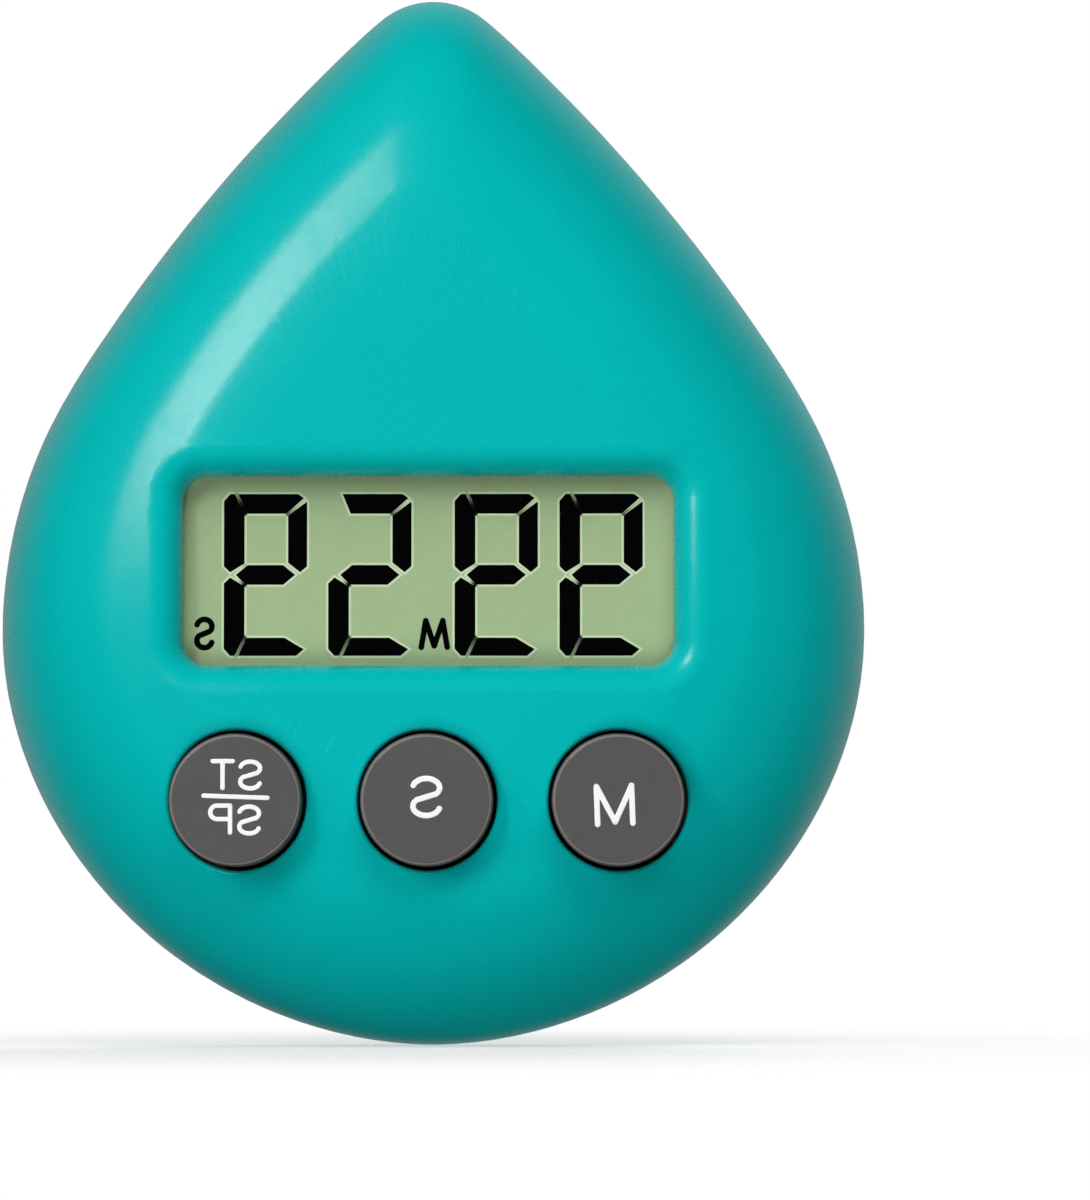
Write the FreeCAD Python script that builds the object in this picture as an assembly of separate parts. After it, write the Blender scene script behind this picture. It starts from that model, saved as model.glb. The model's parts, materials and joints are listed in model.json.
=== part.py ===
import FreeCAD, Part
import math
import os

# A drop-shaped digital kitchen timer that clings to a steel door by two magnets.
# Millimetres, +Z up, +X to the right as seen from the front, and the front faces -Y.
# Everything is drawn from the back face (y = 0) and the level where the drop is widest (z = 0).
# The finished part's origin is on the back face, midway between the magnets.

V = FreeCAD.Vector
ALONG_X = V(1, 0, 0)
ALONG_Y = V(0, 1, 0)
BIG = 60.0  # longer than any cut needs to be

# ---------------------------------------------------------------- drop outline, seen from the front
HALF_WIDTH = 35.0
BOTTOM_DEPTH = 33.4  # from the widest level down to the lowest point
TIP_HEIGHT = 51.5  # from the widest level up to the tip
BOTTOM_POWER = 1.93  # how full the lower half is: 2 would make it an ellipse
SHOULDER_RADIUS = 38.3
SHOULDER_TURN = 32.0  # degrees, where the shoulder arc becomes the flatter flank arc
TIP_TURN = 48.0  # degrees, where the flank arc becomes the small tip arc
RISE = 8.4  # smaller contours shrink towards this height

# ---------------------------------------------------------------- depths of the shells
PARTING_Y = -7.0
FRONT_Y = -23.2
FRONT_CAP = 0.42  # size of the flat front, as a part of the outline
FRONT_POWER = 2.8  # how square the dome's shoulder is
BACK_CAP = 0.88  # size of the flat back, as a part of the outline
WALL = 2.0
GROOVE = 0.3  # width of the line between the two shells
TONGUE_TOP_Y = -8.5
TONGUE_SCALES = (0.945, 0.972)  # the rear cover's tongue, inside and outside
REBATE_SCALES = (0.941, 0.976)  # the front shell's groove for it
POST_SCALE = 0.94  # the screw posts stay inside this contour
FIT_GAP = 0.1  # round a piece that drops into a pocket

# ---------------------------------------------------------------- display
WINDOW_SIZE = (38.8, 15.0)
WINDOW_Z = 4.25
WINDOW_CORNER = 2.0
RECESS_FLOOR_Y = -20.6
RECESS_ROUND = 2.2  # the recess wall is one round from the face almost down to its floor
LENS_SIZE = (41.4, 18.4)
LENS_CORNER = 2.5
LENS_BACK_Y = -19.6
GLASS_WIDTH = 40.8
GLASS_Z = (-4.9, 16.2)
REAR_GLASS_TOP_Z = 13.0
POLARISER_Y = (-19.5, -19.3)
FRONT_GLASS_Y = (-19.3, -18.5)
REAR_GLASS_Y = (-18.5, -17.7)
REFLECTOR_Y = (-17.7, -17.45)
FOAM_SIZE = (37.0, 14.0)
ZEBRA_WIDTH = 38.0
ZEBRA_Z = (13.5, 15.9)
FRAME_WALL = 2.1  # wall of the frame round the glass
FRAME_BOTTOM_WALL = 1.7
FRAME_END_Y = -14.6

# ---------------------------------------------------------------- buttons
BUTTON_NAMES = ("start_stop", "seconds", "minutes")
BUTTON_PITCH = 15.0
BUTTON_Z = -13.9
BUTTON_RADIUS = 5.2
BUTTON_FACE_Y = -25.0
BUTTON_EDGE = 0.35
HOLE_RADIUS = 5.5
HOLE_FILLET = 0.3
GUIDE_RADIUS = 6.7
GUIDE_END_Y = -17.3
FLANGE_RADIUS = 6.0
FLANGE_Y = (-17.25, -16.45)

# ---------------------------------------------------------------- circuit board and keypad
BOARD_FRONT_Y = -14.4
BOARD_BACK_Y = -13.2
BOARD_HALF_WIDTH = 24.0
BOARD_TOP_Z = 24.0
BOARD_BOTTOM_Z = -25.0
BOARD_SCREWS = ((-19.0, 21.0), (19.0, 21.0), (0.0, -22.5))
BOARD_SCREW_RADIUS = 0.9
BOARD_SCREW_HEAD = (1.8, 1.2)  # radius and height
BOARD_SCREW_DEPTH = 4.5
MEMBRANE_SIZE = (41.0, 10.4)
MEMBRANE_CORNER = 3.5
MEMBRANE_WEB = 0.8
MEMBRANE_DOME_RADII = (4.2, 2.6)
MEMBRANE_HOLLOW_RADIUS = 2.2
PAD_RADIUS = 2.0
PAD_THICKNESS = 0.1
PAD_GAP = 0.3
PILL_RADIUS = 1.6
PILL_Y = (-15.8, -15.5)

# ---------------------------------------------------------------- one AAA cell and its bay
CELL_LENGTH = 44.5
CELL_RADIUS = 5.25
CELL_Y = -6.55
CELL_Z = -5.0
CELL_FILM = 0.2
CRADLE_X = 12.0
CRADLE_THICKNESS = 1.2
CRADLE_END_Y = -9.75
BAY_X = (-25.4, 24.2)
BAY_HALF_HEIGHT = 5.8
BAY_FLOOR_Y = -12.0
BAY_WALL = 1.2
BAY_FLOOR_WALL = 1.0
CONTACT_THICKNESS = 0.4
CONTACT_Y = (-11.6, -2.6)
CONTACT_HALF_HEIGHT = 3.8
TAB_HALF_HEIGHT = 1.5
TAB_REACH = 1.8  # past the outside of the bay's end wall
TAB_GAP = 0.3
SPRING_RADII = (3.6, 2.4)
SPRING_WIRE = 0.5
SPRING_TURNS = 2.5
DOOR_OPENING = (54.0, 13.2)
DOOR_GAP = 0.3
DOOR_Y = (-1.3, -0.1)
DOOR_CORNER = 1.0
PIN_RADIUS = 0.35
PIN_LENGTH = 0.8
PIN_HOLE_RADIUS = 0.42
LATCH_HALF_WIDTH = 4.6
LATCH_SLIT = (0.5, 3.6)  # width and height
LATCH_NIB = (7.0, 0.6, 0.12)  # width, thickness and how far it stands out
NAIL_NOTCH = (3.6, 2.2, 0.4)  # sphere radius, its middle behind the back and below the door
GRIP_LINES = 3
GRIP_PITCH = 1.0
GRIP_GROOVE = (6.0, 0.25, 0.4)  # width, depth and height

# ---------------------------------------------------------------- magnets, sounder, screws
MAGNET_X = 17.5
MAGNET_Z = 15.5
MAGNET_RADIUS = 6.0
MAGNET_Y = (-2.95, -0.05)
MAGNET_CUP_WALL = 1.2
SOUNDER_Z = 27.0
SOUNDER_RADIUS = 10.0
SOUNDER_SEAT_Y = -2.8
SOUNDER_SHEET = 0.2
SOUNDER_SEAT_WALL = 1.0
CERAMIC_RADIUS = 7.0
SOUND_HOLE_RADIUS = 0.75
SOUND_HOLE_RING = 4.2
SOUND_HOLES = 6
SHELL_SCREWS = ((0.0, 42.0), (-26.0, 8.0), (26.0, 8.0), (0.0, -28.5))
SHELL_SCREW_RADIUS = 1.1
SHELL_SCREW_HEAD = (2.2, 1.5)  # radius and height
SHELL_SCREW_HEAD_Y = -1.9  # underside of the head
SHELL_SCREW_TIP_Y = -14.0
POST_RADIUS = 3.1
BOSS_RADIUS = 2.6
POST_END_Y = -8.0
THREAD_GAP = 0.05
HEAD_GAP = 0.3
BLIND_END = 1.0  # what a blind screw hole has past the screw's tip
WIRE_RADIUS = 0.5

BUTTON_X = [(i - 1) * BUTTON_PITCH for i in range(len(BUTTON_NAMES))]
DOOR_SIZE = (DOOR_OPENING[0] - DOOR_GAP, DOOR_OPENING[1] - DOOR_GAP)
DOOR_EDGE_RADIUS = (DOOR_Y[1] - DOOR_Y[0]) / 2  # the door's top edge is round about the hinge axis
HINGE_Y = (DOOR_Y[0] + DOOR_Y[1]) / 2
HINGE_Z = CELL_Z + DOOR_SIZE[1] / 2 - DOOR_EDGE_RADIUS


# ================================================================ plain helpers
def fused(shapes):
    whole = shapes[0].multiFuse(shapes[1:]) if len(shapes) > 1 else shapes[0]
    return whole.removeSplitter()


def grouped(shapes):
    """Several separate solids that share one node."""
    return Part.makeCompound(shapes)


def box(x, y, z):
    """A block between the two values given for each axis."""
    size = (x[1] - x[0], y[1] - y[0], z[1] - z[0])
    return Part.makeBox(*size, V(x[0], y[0], z[0]))


def disc(radius, y, x=0.0, z=0.0):
    """A round bar along Y, between the two values in y."""
    return Part.makeCylinder(radius, y[1] - y[0], V(x, y[0], z), ALONG_Y)


def bar(radius, x, y, z):
    """A round bar along X, between the two values in x."""
    return Part.makeCylinder(radius, x[1] - x[0], V(x[0], y, z), ALONG_X)


def rounded_wire(size, corner, y, centre_z):
    """A rounded rectangle that faces the front."""
    half_x = size[0] / 2
    half_z = size[1] / 2
    diagonal = corner * math.sqrt(0.5)
    edges = []
    corners = ((1, -1, -90), (1, 1, 0), (-1, 1, 90), (-1, -1, 180))
    arcs = []
    for sign_x, sign_z, first in corners:
        x = sign_x * (half_x - corner)
        z = centre_z + sign_z * (half_z - corner)
        start = math.radians(first)
        end = math.radians(first + 90)
        begin = V(x + corner * math.cos(start), y, z + corner * math.sin(start))
        middle = V(x + sign_x * diagonal, y, z + sign_z * diagonal)
        finish = V(x + corner * math.cos(end), y, z + corner * math.sin(end))
        arcs.append((begin, middle, finish))
    for i, arc in enumerate(arcs):
        edges.append(Part.Arc(*arc).toShape())
        following = arcs[(i + 1) % len(arcs)]
        edges.append(Part.LineSegment(arc[2], following[0]).toShape())
    return Part.Wire(edges)


def plate(size, corner, y, centre_z):
    """A plate with rounded corners that faces the front."""
    face = Part.Face(rounded_wire(size, corner, y[0], centre_z))
    return face.extrude(V(0, y[1] - y[0], 0))


def turned(points, centre, axis):
    """A solid turned about an axis. Points are (radius, distance along the axis)."""
    side = ALONG_Y.cross(axis) if abs(axis.dot(ALONG_Y)) < 0.5 else ALONG_X
    path = [centre + side * radius + axis * along for radius, along in points]
    face = Part.Face(Part.makePolygon(path + [path[0]]))
    return face.revolve(centre, axis, 360)


def rounded_route(points):
    """Straight runs joined by tangent arcs as large as the runs allow."""
    edges = []
    start = points[0]
    for before, here, after in zip(points, points[1:], points[2:]):
        into = (here - before).normalize()
        away = (after - here).normalize()
        half_turn = into.getAngle(away) / 2
        setback = 0.45 * min(before.distanceToPoint(here), here.distanceToPoint(after))
        radius = setback / math.tan(half_turn)
        arc_start = here - into * setback
        arc_end = here + away * setback
        inward = (away - into).normalize()
        arc_middle = here + inward * (radius / math.cos(half_turn) - radius)
        edges.append(Part.LineSegment(start, arc_start).toShape())
        edges.append(Part.Arc(arc_start, arc_middle, arc_end).toShape())
        start = arc_end
    edges.append(Part.LineSegment(start, points[-1]).toShape())
    return Part.Wire(edges)


def wire_along(points):
    """An insulated wire whose middle follows the points."""
    route = rounded_route(points)
    heading = (points[1] - points[0]).normalize()
    section = Part.Wire(Part.makeCircle(WIRE_RADIUS, points[0], heading))
    return route.makePipeShell([section], True, True)


# ================================================================ the drop shape
def arc_points(centre, radius, first, last, steps):
    """Points on an arc, by angle in degrees from +X, without the last one."""
    points = []
    for i in range(steps):
        angle = math.radians(first + (last - first) * i / steps)
        points.append((centre[0] + radius * math.cos(angle), centre[1] + radius * math.sin(angle)))
    return points


def bottom_points(steps):
    """Points on the lower right quarter, from the lowest point up, without the last one."""
    points = []
    for i in range(steps):
        angle = math.radians(90.0 * i / steps)
        x = HALF_WIDTH * math.sin(angle) ** (2 / BOTTOM_POWER)
        points.append((x, -BOTTOM_DEPTH * math.cos(angle) ** (2 / BOTTOM_POWER)))
    return points


def right_side():
    """The outline's right half: bottom, shoulder arc, flank arc and tip arc, from the bottom up."""
    shoulder = math.radians(SHOULDER_TURN)
    tip = math.radians(TIP_TURN)
    shoulder_centre = (HALF_WIDTH - SHOULDER_RADIUS, 0.0)
    joint_x = shoulder_centre[0] + SHOULDER_RADIUS * math.cos(shoulder)
    joint_z = SHOULDER_RADIUS * math.sin(shoulder)
    chord = math.tan((shoulder + tip) / 2)
    height = TIP_HEIGHT - joint_z
    tip_radius = (joint_x - height * chord) / (math.cos(tip) - chord * (1 - math.sin(tip)))
    tip_centre = (0.0, TIP_HEIGHT - tip_radius)
    tip_x = tip_radius * math.cos(tip)
    tip_z = tip_centre[1] + tip_radius * math.sin(tip)
    flank_length = math.hypot(joint_x - tip_x, tip_z - joint_z)
    flank_radius = flank_length / (2 * math.sin((tip - shoulder) / 2))
    flank_centre = (joint_x - flank_radius * math.cos(shoulder), joint_z - flank_radius * math.sin(shoulder))
    points = bottom_points(12)
    points += arc_points(shoulder_centre, SHOULDER_RADIUS, 0, SHOULDER_TURN, 5)
    points += arc_points(flank_centre, flank_radius, SHOULDER_TURN, TIP_TURN, 6)
    points += arc_points(tip_centre, tip_radius, TIP_TURN, 90, 5)
    return points


def outline_curve(scale=1.0, y=0.0):
    """The closed drop outline as one smooth curve, at a scale of the full outline."""
    right = right_side()
    left = [(-x, z) for x, z in reversed(right[1:])]
    points = []
    for x, z in right + [(0.0, TIP_HEIGHT)] + left:
        points.append(V(scale * x, y, scale * z + (1 - scale) * RISE))
    curve = Part.BSplineCurve()
    curve.interpolate(Points=points, PeriodicFlag=True)
    return curve


def drop_prism(scale, y):
    """A straight-sided drop."""
    face = Part.Face(Part.Wire(outline_curve(scale, y[0]).toShape()))
    return face.extrude(V(0, y[1] - y[0], 0))


def drop_dome(rim_scale, cap_scale, rim_y, cap_y, power):
    """A drop whose wall curves from its full outline at rim_y in to a flat cap at cap_y."""
    steps = 12
    stations = []
    for i in range(steps + 1):
        angle = math.radians(90.0 * i / steps)
        inward = max(math.cos(angle), 0.0) ** (2 / power)
        scale = cap_scale + (rim_scale - cap_scale) * inward
        stations.append(V(scale, rim_y + (cap_y - rim_y) * math.sin(angle), 0))
    profile = Part.BSplineCurve()
    depth = cap_y - rim_y
    first = V(0, depth, 0)
    last = V(cap_scale - rim_scale, 0, 0)
    profile.interpolate(Points=stations, InitialTangent=first, FinalTangent=last)
    outline = outline_curve()
    poles = []
    for around in outline.getPoles():
        column = []
        for station in profile.getPoles():
            scale = station.x
            column.append(V(scale * around.x, station.y, scale * around.z + (1 - scale) * RISE))
        poles.append(column)
    surface = Part.BSplineSurface()
    surface.buildFromPolesMultsKnots(
        poles, outline.getMultiplicities(), profile.getMultiplicities(),
        outline.getKnots(), profile.getKnots(), True, False, outline.Degree, profile.Degree)
    side = surface.toShape()
    rims = [edge for edge in side.Edges if edge.isClosed() and edge.BoundBox.YLength < 1e-6]
    caps = [Part.Face(Part.Wire(edge)) for edge in rims]
    shell = Part.makeShell([side] + caps)
    shell.sewShape()
    solid = Part.makeSolid(shell)
    if solid.Volume < 0:
        solid.reverse()
    return solid


def front_dome(inset):
    """The front half of the drop, made smaller all over by the inset."""
    rim = 1 - inset / HALF_WIDTH
    return drop_dome(rim, FRONT_CAP, PARTING_Y, FRONT_Y + inset, FRONT_POWER)


def rear_dome():
    return drop_dome(1.0, BACK_CAP, PARTING_Y + GROOVE, 0.0, 2.0)


def rear_hollow():
    inset = WALL / HALF_WIDTH
    return drop_dome(1 - inset, BACK_CAP - inset, PARTING_Y + GROOVE, -WALL, 2.0)


# ================================================================ front shell
def on_recess_edge(edge):
    """True for an edge where the display recess meets the outside of the shell."""
    if edge.BoundBox.YLength > 1.2 or edge.BoundBox.YMax > RECESS_FLOOR_Y - 0.1:
        return False
    for point in edge.discretize(7):
        out_x = max(abs(point.x) - (WINDOW_SIZE[0] / 2 - WINDOW_CORNER), 0.0)
        out_z = max(abs(point.z - WINDOW_Z) - (WINDOW_SIZE[1] / 2 - WINDOW_CORNER), 0.0)
        if abs(math.hypot(out_x, out_z) - WINDOW_CORNER) > 0.01:
            return False
    return True


def on_button_edge(edge):
    """True for an edge where a button hole meets the outside of the shell."""
    if edge.BoundBox.YMax > PARTING_Y - 2 * WALL:
        return False
    for x in BUTTON_X:
        away = [math.hypot(p.x - x, p.z - BUTTON_Z) - HOLE_RADIUS for p in edge.discretize(7)]
        if max(map(abs, away)) < 0.01:
            return edge.BoundBox.YLength < 6.0 and edge.Length > 1.0
    return False


def front_skin():
    """The outside of the front with its recess and button holes, edges rounded, still solid inside."""
    recess = plate(WINDOW_SIZE, WINDOW_CORNER, (FRONT_Y - 1.0, RECESS_FLOOR_Y), WINDOW_Z)
    skin = front_dome(0.0).cut(recess)
    edges = [edge for edge in skin.Edges if on_recess_edge(edge)]
    skin = skin.makeFillet(RECESS_ROUND, edges)
    for x in BUTTON_X:
        skin = skin.cut(disc(HOLE_RADIUS, (-BIG, 0.0), x, BUTTON_Z))
    edges = [edge for edge in skin.Edges if on_button_edge(edge)]
    return skin.makeFillet(HOLE_FILLET, edges)


def front_room():
    """The space inside the front, around the display frame, the button guides and the screw bosses."""
    half = GLASS_WIDTH / 2 + FRAME_WALL
    frame_z = (GLASS_Z[0] - FRAME_BOTTOM_WALL, GLASS_Z[1] + FRAME_WALL)
    fittings = [box((-half, half), (FRONT_Y, FRAME_END_Y), frame_z)]
    for x in BUTTON_X:
        fittings.append(disc(GUIDE_RADIUS, (FRONT_Y, GUIDE_END_Y), x, BUTTON_Z))
    for x, z in BOARD_SCREWS:
        fittings.append(disc(BOSS_RADIUS, (FRONT_Y, BOARD_FRONT_Y), x, z))
    for x, z in SHELL_SCREWS:
        fittings.append(disc(BOSS_RADIUS, (FRONT_Y, POST_END_Y), x, z))
    room = front_dome(WALL)
    for fitting in fittings:
        room = room.cut(fitting)
    return room


def front_pockets():
    """The hollows inside the display frame, from the window back."""
    window = plate(WINDOW_SIZE, WINDOW_CORNER, (RECESS_FLOOR_Y, FRAME_END_Y), WINDOW_Z)
    lens_pocket = (LENS_SIZE[0] + 2 * FIT_GAP, LENS_SIZE[1] + 2 * FIT_GAP)
    lens = plate(lens_pocket, LENS_CORNER + FIT_GAP, (RECESS_FLOOR_Y, LENS_BACK_Y + FIT_GAP), WINDOW_Z)
    half = GLASS_WIDTH / 2 + FIT_GAP
    glass_z = (GLASS_Z[0] - FIT_GAP, GLASS_Z[1] + FIT_GAP)
    return [window, lens, box((-half, half), (LENS_BACK_Y, BOARD_FRONT_Y), glass_z)]


def front_screw_holes():
    holes = []
    board_end = BOARD_FRONT_Y - BOARD_SCREW_DEPTH - BLIND_END
    for x, z in BOARD_SCREWS:
        holes.append(disc(BOARD_SCREW_RADIUS + THREAD_GAP, (board_end, 0.0), x, z))
    shell_end = SHELL_SCREW_TIP_Y - BLIND_END
    for x, z in SHELL_SCREWS:
        holes.append(disc(SHELL_SCREW_RADIUS + THREAD_GAP, (shell_end, 0.0), x, z))
    return holes


def tongue_groove():
    """The groove round the rim for the rear cover's tongue, stopped at the screw bosses."""
    y = (TONGUE_TOP_Y, PARTING_Y)
    groove = drop_prism(REBATE_SCALES[1], y).cut(drop_prism(REBATE_SCALES[0], y))
    for x, z in SHELL_SCREWS:
        groove = groove.cut(disc(BOSS_RADIUS, (-BIG, 0.0), x, z))
    return groove


def front_shell():
    shell = front_skin()
    for hollow in [front_room()] + front_pockets() + front_screw_holes() + [tongue_groove()]:
        shell = shell.cut(hollow)
    return shell.removeSplitter()


# ================================================================ rear cover
def bay_block():
    half = BAY_HALF_HEIGHT + BAY_WALL
    return box((BAY_X[0] - BAY_WALL, BAY_X[1] + BAY_WALL), (BAY_FLOOR_Y - BAY_FLOOR_WALL, -WALL / 2),
               (CELL_Z - half, CELL_Z + half))


def bay_hollow():
    return box(BAY_X, (BAY_FLOOR_Y, 1.0), (CELL_Z - BAY_HALF_HEIGHT, CELL_Z + BAY_HALF_HEIGHT))


def cell_cradles():
    """Two low ribs with a round seat that hold the cell off the bay's floor."""
    cradles = []
    half = CRADLE_THICKNESS / 2
    z = (CELL_Z - BAY_HALF_HEIGHT, CELL_Z + BAY_HALF_HEIGHT)
    for x in (-CRADLE_X, CRADLE_X):
        rib = box((x - half, x + half), (BAY_FLOOR_Y, CRADLE_END_Y), z)
        cradles.append(rib.cut(bar(CELL_RADIUS + 0.05, (-BIG, BIG), CELL_Y, CELL_Z)))
    return cradles


def door_seat():
    """The shallow pocket for the door, with its hinge pin holes and a fingernail notch."""
    half_x = DOOR_OPENING[0] / 2
    bottom = CELL_Z - DOOR_OPENING[1] / 2
    pocket = box((-half_x, half_x), (DOOR_Y[0], 1.0), (bottom, CELL_Z + DOOR_OPENING[1] / 2))
    reach = DOOR_SIZE[0] / 2 + PIN_LENGTH + FIT_GAP
    pin_holes = bar(PIN_HOLE_RADIUS, (-reach, reach), HINGE_Y, HINGE_Z)
    radius, behind, below = NAIL_NOTCH
    nail_notch = Part.makeSphere(radius, V(0, behind, bottom - below))
    return [pocket, pin_holes, nail_notch]


def contact_slots():
    """Slots in the bay's end walls for the solder tabs."""
    y = (CONTACT_Y[0] - TAB_GAP, CONTACT_Y[0] + CONTACT_THICKNESS + TAB_GAP)
    half = TAB_HALF_HEIGHT + TAB_GAP
    z = (CELL_Z - half, CELL_Z + half)
    left = box((BAY_X[0] - 2 * BAY_WALL, BAY_X[0] + BAY_WALL / 2), y, z)
    right = box((BAY_X[1] - BAY_WALL / 2, BAY_X[1] + 2 * BAY_WALL), y, z)
    return [left, right]


def sound_holes():
    holes = [disc(SOUND_HOLE_RADIUS, (-BIG, BIG), 0.0, SOUNDER_Z)]
    for i in range(SOUND_HOLES):
        angle = math.tau * (i + 0.5) / SOUND_HOLES
        x = SOUND_HOLE_RING * math.cos(angle)
        z = SOUNDER_Z + SOUND_HOLE_RING * math.sin(angle)
        holes.append(disc(SOUND_HOLE_RADIUS, (-BIG, BIG), x, z))
    return holes


def rear_fittings():
    """Everything that stands on the inside of the rear wall."""
    root_y = -WALL / 2
    tongue_y = (TONGUE_TOP_Y, PARTING_Y + GROOVE + 0.8)
    tongue = drop_prism(TONGUE_SCALES[1], tongue_y).cut(drop_prism(TONGUE_SCALES[0], tongue_y))
    for x, z in SHELL_SCREWS:
        tongue = tongue.cut(disc(POST_RADIUS + 0.2, (-BIG, -WALL), x, z))
    fittings = [tongue, bay_block()]
    for x, z in SHELL_SCREWS:
        post = disc(POST_RADIUS, (POST_END_Y, root_y), x, z)
        fittings.append(post.common(drop_prism(POST_SCALE, (POST_END_Y, root_y))))
    for x in (-MAGNET_X, MAGNET_X):
        cup = (MAGNET_Y[0] - MAGNET_CUP_WALL, root_y)
        fittings.append(disc(MAGNET_RADIUS + MAGNET_CUP_WALL, cup, x, MAGNET_Z))
    seat_y = (SOUNDER_SEAT_Y - 2 * SOUNDER_SHEET, root_y)
    seat = disc(SOUNDER_RADIUS + SOUNDER_SEAT_WALL, seat_y, 0.0, SOUNDER_Z)
    seat = seat.cut(disc(SOUNDER_RADIUS + FIT_GAP, (-BIG, SOUNDER_SEAT_Y), 0.0, SOUNDER_Z))
    seat = seat.cut(disc(SOUNDER_RADIUS - SOUNDER_SEAT_WALL, (-BIG, root_y), 0.0, SOUNDER_Z))
    return fittings + [seat]


def rear_cover():
    cover = rear_dome().cut(rear_hollow())
    cover = cover.multiFuse(rear_fittings())
    cuts = [bay_hollow()] + door_seat() + contact_slots() + sound_holes()
    for x in (-MAGNET_X, MAGNET_X):
        cuts.append(disc(MAGNET_RADIUS + FIT_GAP, (MAGNET_Y[0], 1.0), x, MAGNET_Z))
    for x, z in SHELL_SCREWS:
        cuts.append(disc(SHELL_SCREW_RADIUS + HEAD_GAP, (-BIG, 1.0), x, z))
        cuts.append(disc(SHELL_SCREW_HEAD[0] + HEAD_GAP, (SHELL_SCREW_HEAD_Y, 1.0), x, z))
    for cut in cuts:
        cover = cover.cut(cut)
    return fused([cover] + cell_cradles())


# ================================================================ battery door
def battery_door():
    """A door hinged on two end pins along its round top edge, with a springy latch at the bottom."""
    half_x = DOOR_SIZE[0] / 2
    bottom = CELL_Z - DOOR_SIZE[1] / 2
    panel = box((-half_x, half_x), DOOR_Y, (bottom, HINGE_Z))
    corners = [e for e in panel.Edges if e.BoundBox.YLength > 1.0 and e.BoundBox.ZMax < bottom + 0.1]
    panel = panel.makeFillet(DOOR_CORNER, corners)
    top_edge = bar(DOOR_EDGE_RADIUS, (-half_x, half_x), HINGE_Y, HINGE_Z)
    pins = bar(PIN_RADIUS, (-half_x - PIN_LENGTH, half_x + PIN_LENGTH), HINGE_Y, HINGE_Z)
    nib_width, nib_thickness, nib_reach = LATCH_NIB
    nib = box((-nib_width / 2, nib_width / 2), (DOOR_Y[0], DOOR_Y[0] + nib_thickness),
              (bottom - nib_reach, bottom + nib_thickness))
    door = fused([panel, top_edge, pins, nib])
    slit_width, slit_height = LATCH_SLIT
    for x in (-LATCH_HALF_WIDTH, LATCH_HALF_WIDTH):
        slit_x = (x - slit_width / 2, x + slit_width / 2)
        door = door.cut(box(slit_x, (-BIG, BIG), (-BIG, bottom + slit_height)))
    groove_width, groove_depth, groove_height = GRIP_GROOVE
    for i in range(GRIP_LINES):
        z = bottom + (i + 1.6) * GRIP_PITCH
        groove_z = (z - groove_height / 2, z + groove_height / 2)
        groove = box((-groove_width / 2, groove_width / 2), (DOOR_Y[1] - groove_depth, 1.0), groove_z)
        door = door.cut(groove)
    return door


# ================================================================ display
def display_lens():
    return plate(LENS_SIZE, LENS_CORNER, (RECESS_FLOOR_Y, LENS_BACK_Y), WINDOW_Z)


def glass_sheet(y, top):
    return box((-GLASS_WIDTH / 2, GLASS_WIDTH / 2), y, (GLASS_Z[0], top))


def lcd_foam_pad():
    return plate(FOAM_SIZE, 1.0, (REFLECTOR_Y[1], BOARD_FRONT_Y), WINDOW_Z)


def zebra_connector():
    """The striped rubber strip that joins the glass's edge to the board."""
    return box((-ZEBRA_WIDTH / 2, ZEBRA_WIDTH / 2), (FRONT_GLASS_Y[1], BOARD_FRONT_Y), ZEBRA_Z)


# ================================================================ buttons and keypad
def button(x):
    """A cap with a rounded edge that stands out of the shell, held in by its flange."""
    cap = disc(BUTTON_RADIUS, (BUTTON_FACE_Y, FLANGE_Y[0]), x, BUTTON_Z)
    front = [e for e in cap.Edges if e.BoundBox.YMax < BUTTON_FACE_Y + 0.01]
    cap = cap.makeFillet(BUTTON_EDGE, front)
    flange = disc(FLANGE_RADIUS, FLANGE_Y, x, BUTTON_Z)
    return fused([cap, flange])


def keypad_membrane():
    """A rubber sheet on the board with one hollow dome under each button."""
    web_y = BOARD_FRONT_Y - MEMBRANE_WEB
    sheet = plate(MEMBRANE_SIZE, MEMBRANE_CORNER, (web_y, BOARD_FRONT_Y), BUTTON_Z)
    height = web_y - FLANGE_Y[1]
    domes = []
    for x in BUTTON_X:
        base = V(x, web_y, BUTTON_Z)
        domes.append(Part.makeCone(*MEMBRANE_DOME_RADII, height, base, -ALONG_Y))
    rubber = fused([sheet] + domes)
    for x in BUTTON_X:
        rubber = rubber.cut(disc(MEMBRANE_HOLLOW_RADIUS, (PILL_Y[0], BOARD_FRONT_Y), x, BUTTON_Z))
    return rubber


def contact_pill(x):
    """The carbon pill under one dome of the membrane, which goes down with its button."""
    return disc(PILL_RADIUS, PILL_Y, x, BUTTON_Z)


def contact_pads():
    """Pairs of half-round carbon pads on the board, one pair under each pill."""
    y = (BOARD_FRONT_Y - PAD_THICKNESS, BOARD_FRONT_Y)
    pads = []
    for x in BUTTON_X:
        pad = disc(PAD_RADIUS, y, x, BUTTON_Z)
        pads.append(pad.cut(box((x - PAD_GAP / 2, x + BIG), (-BIG, BIG), (-BIG, BIG))))
        pads.append(pad.cut(box((x - BIG, x + PAD_GAP / 2), (-BIG, BIG), (-BIG, BIG))))
    return grouped(pads)


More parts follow.
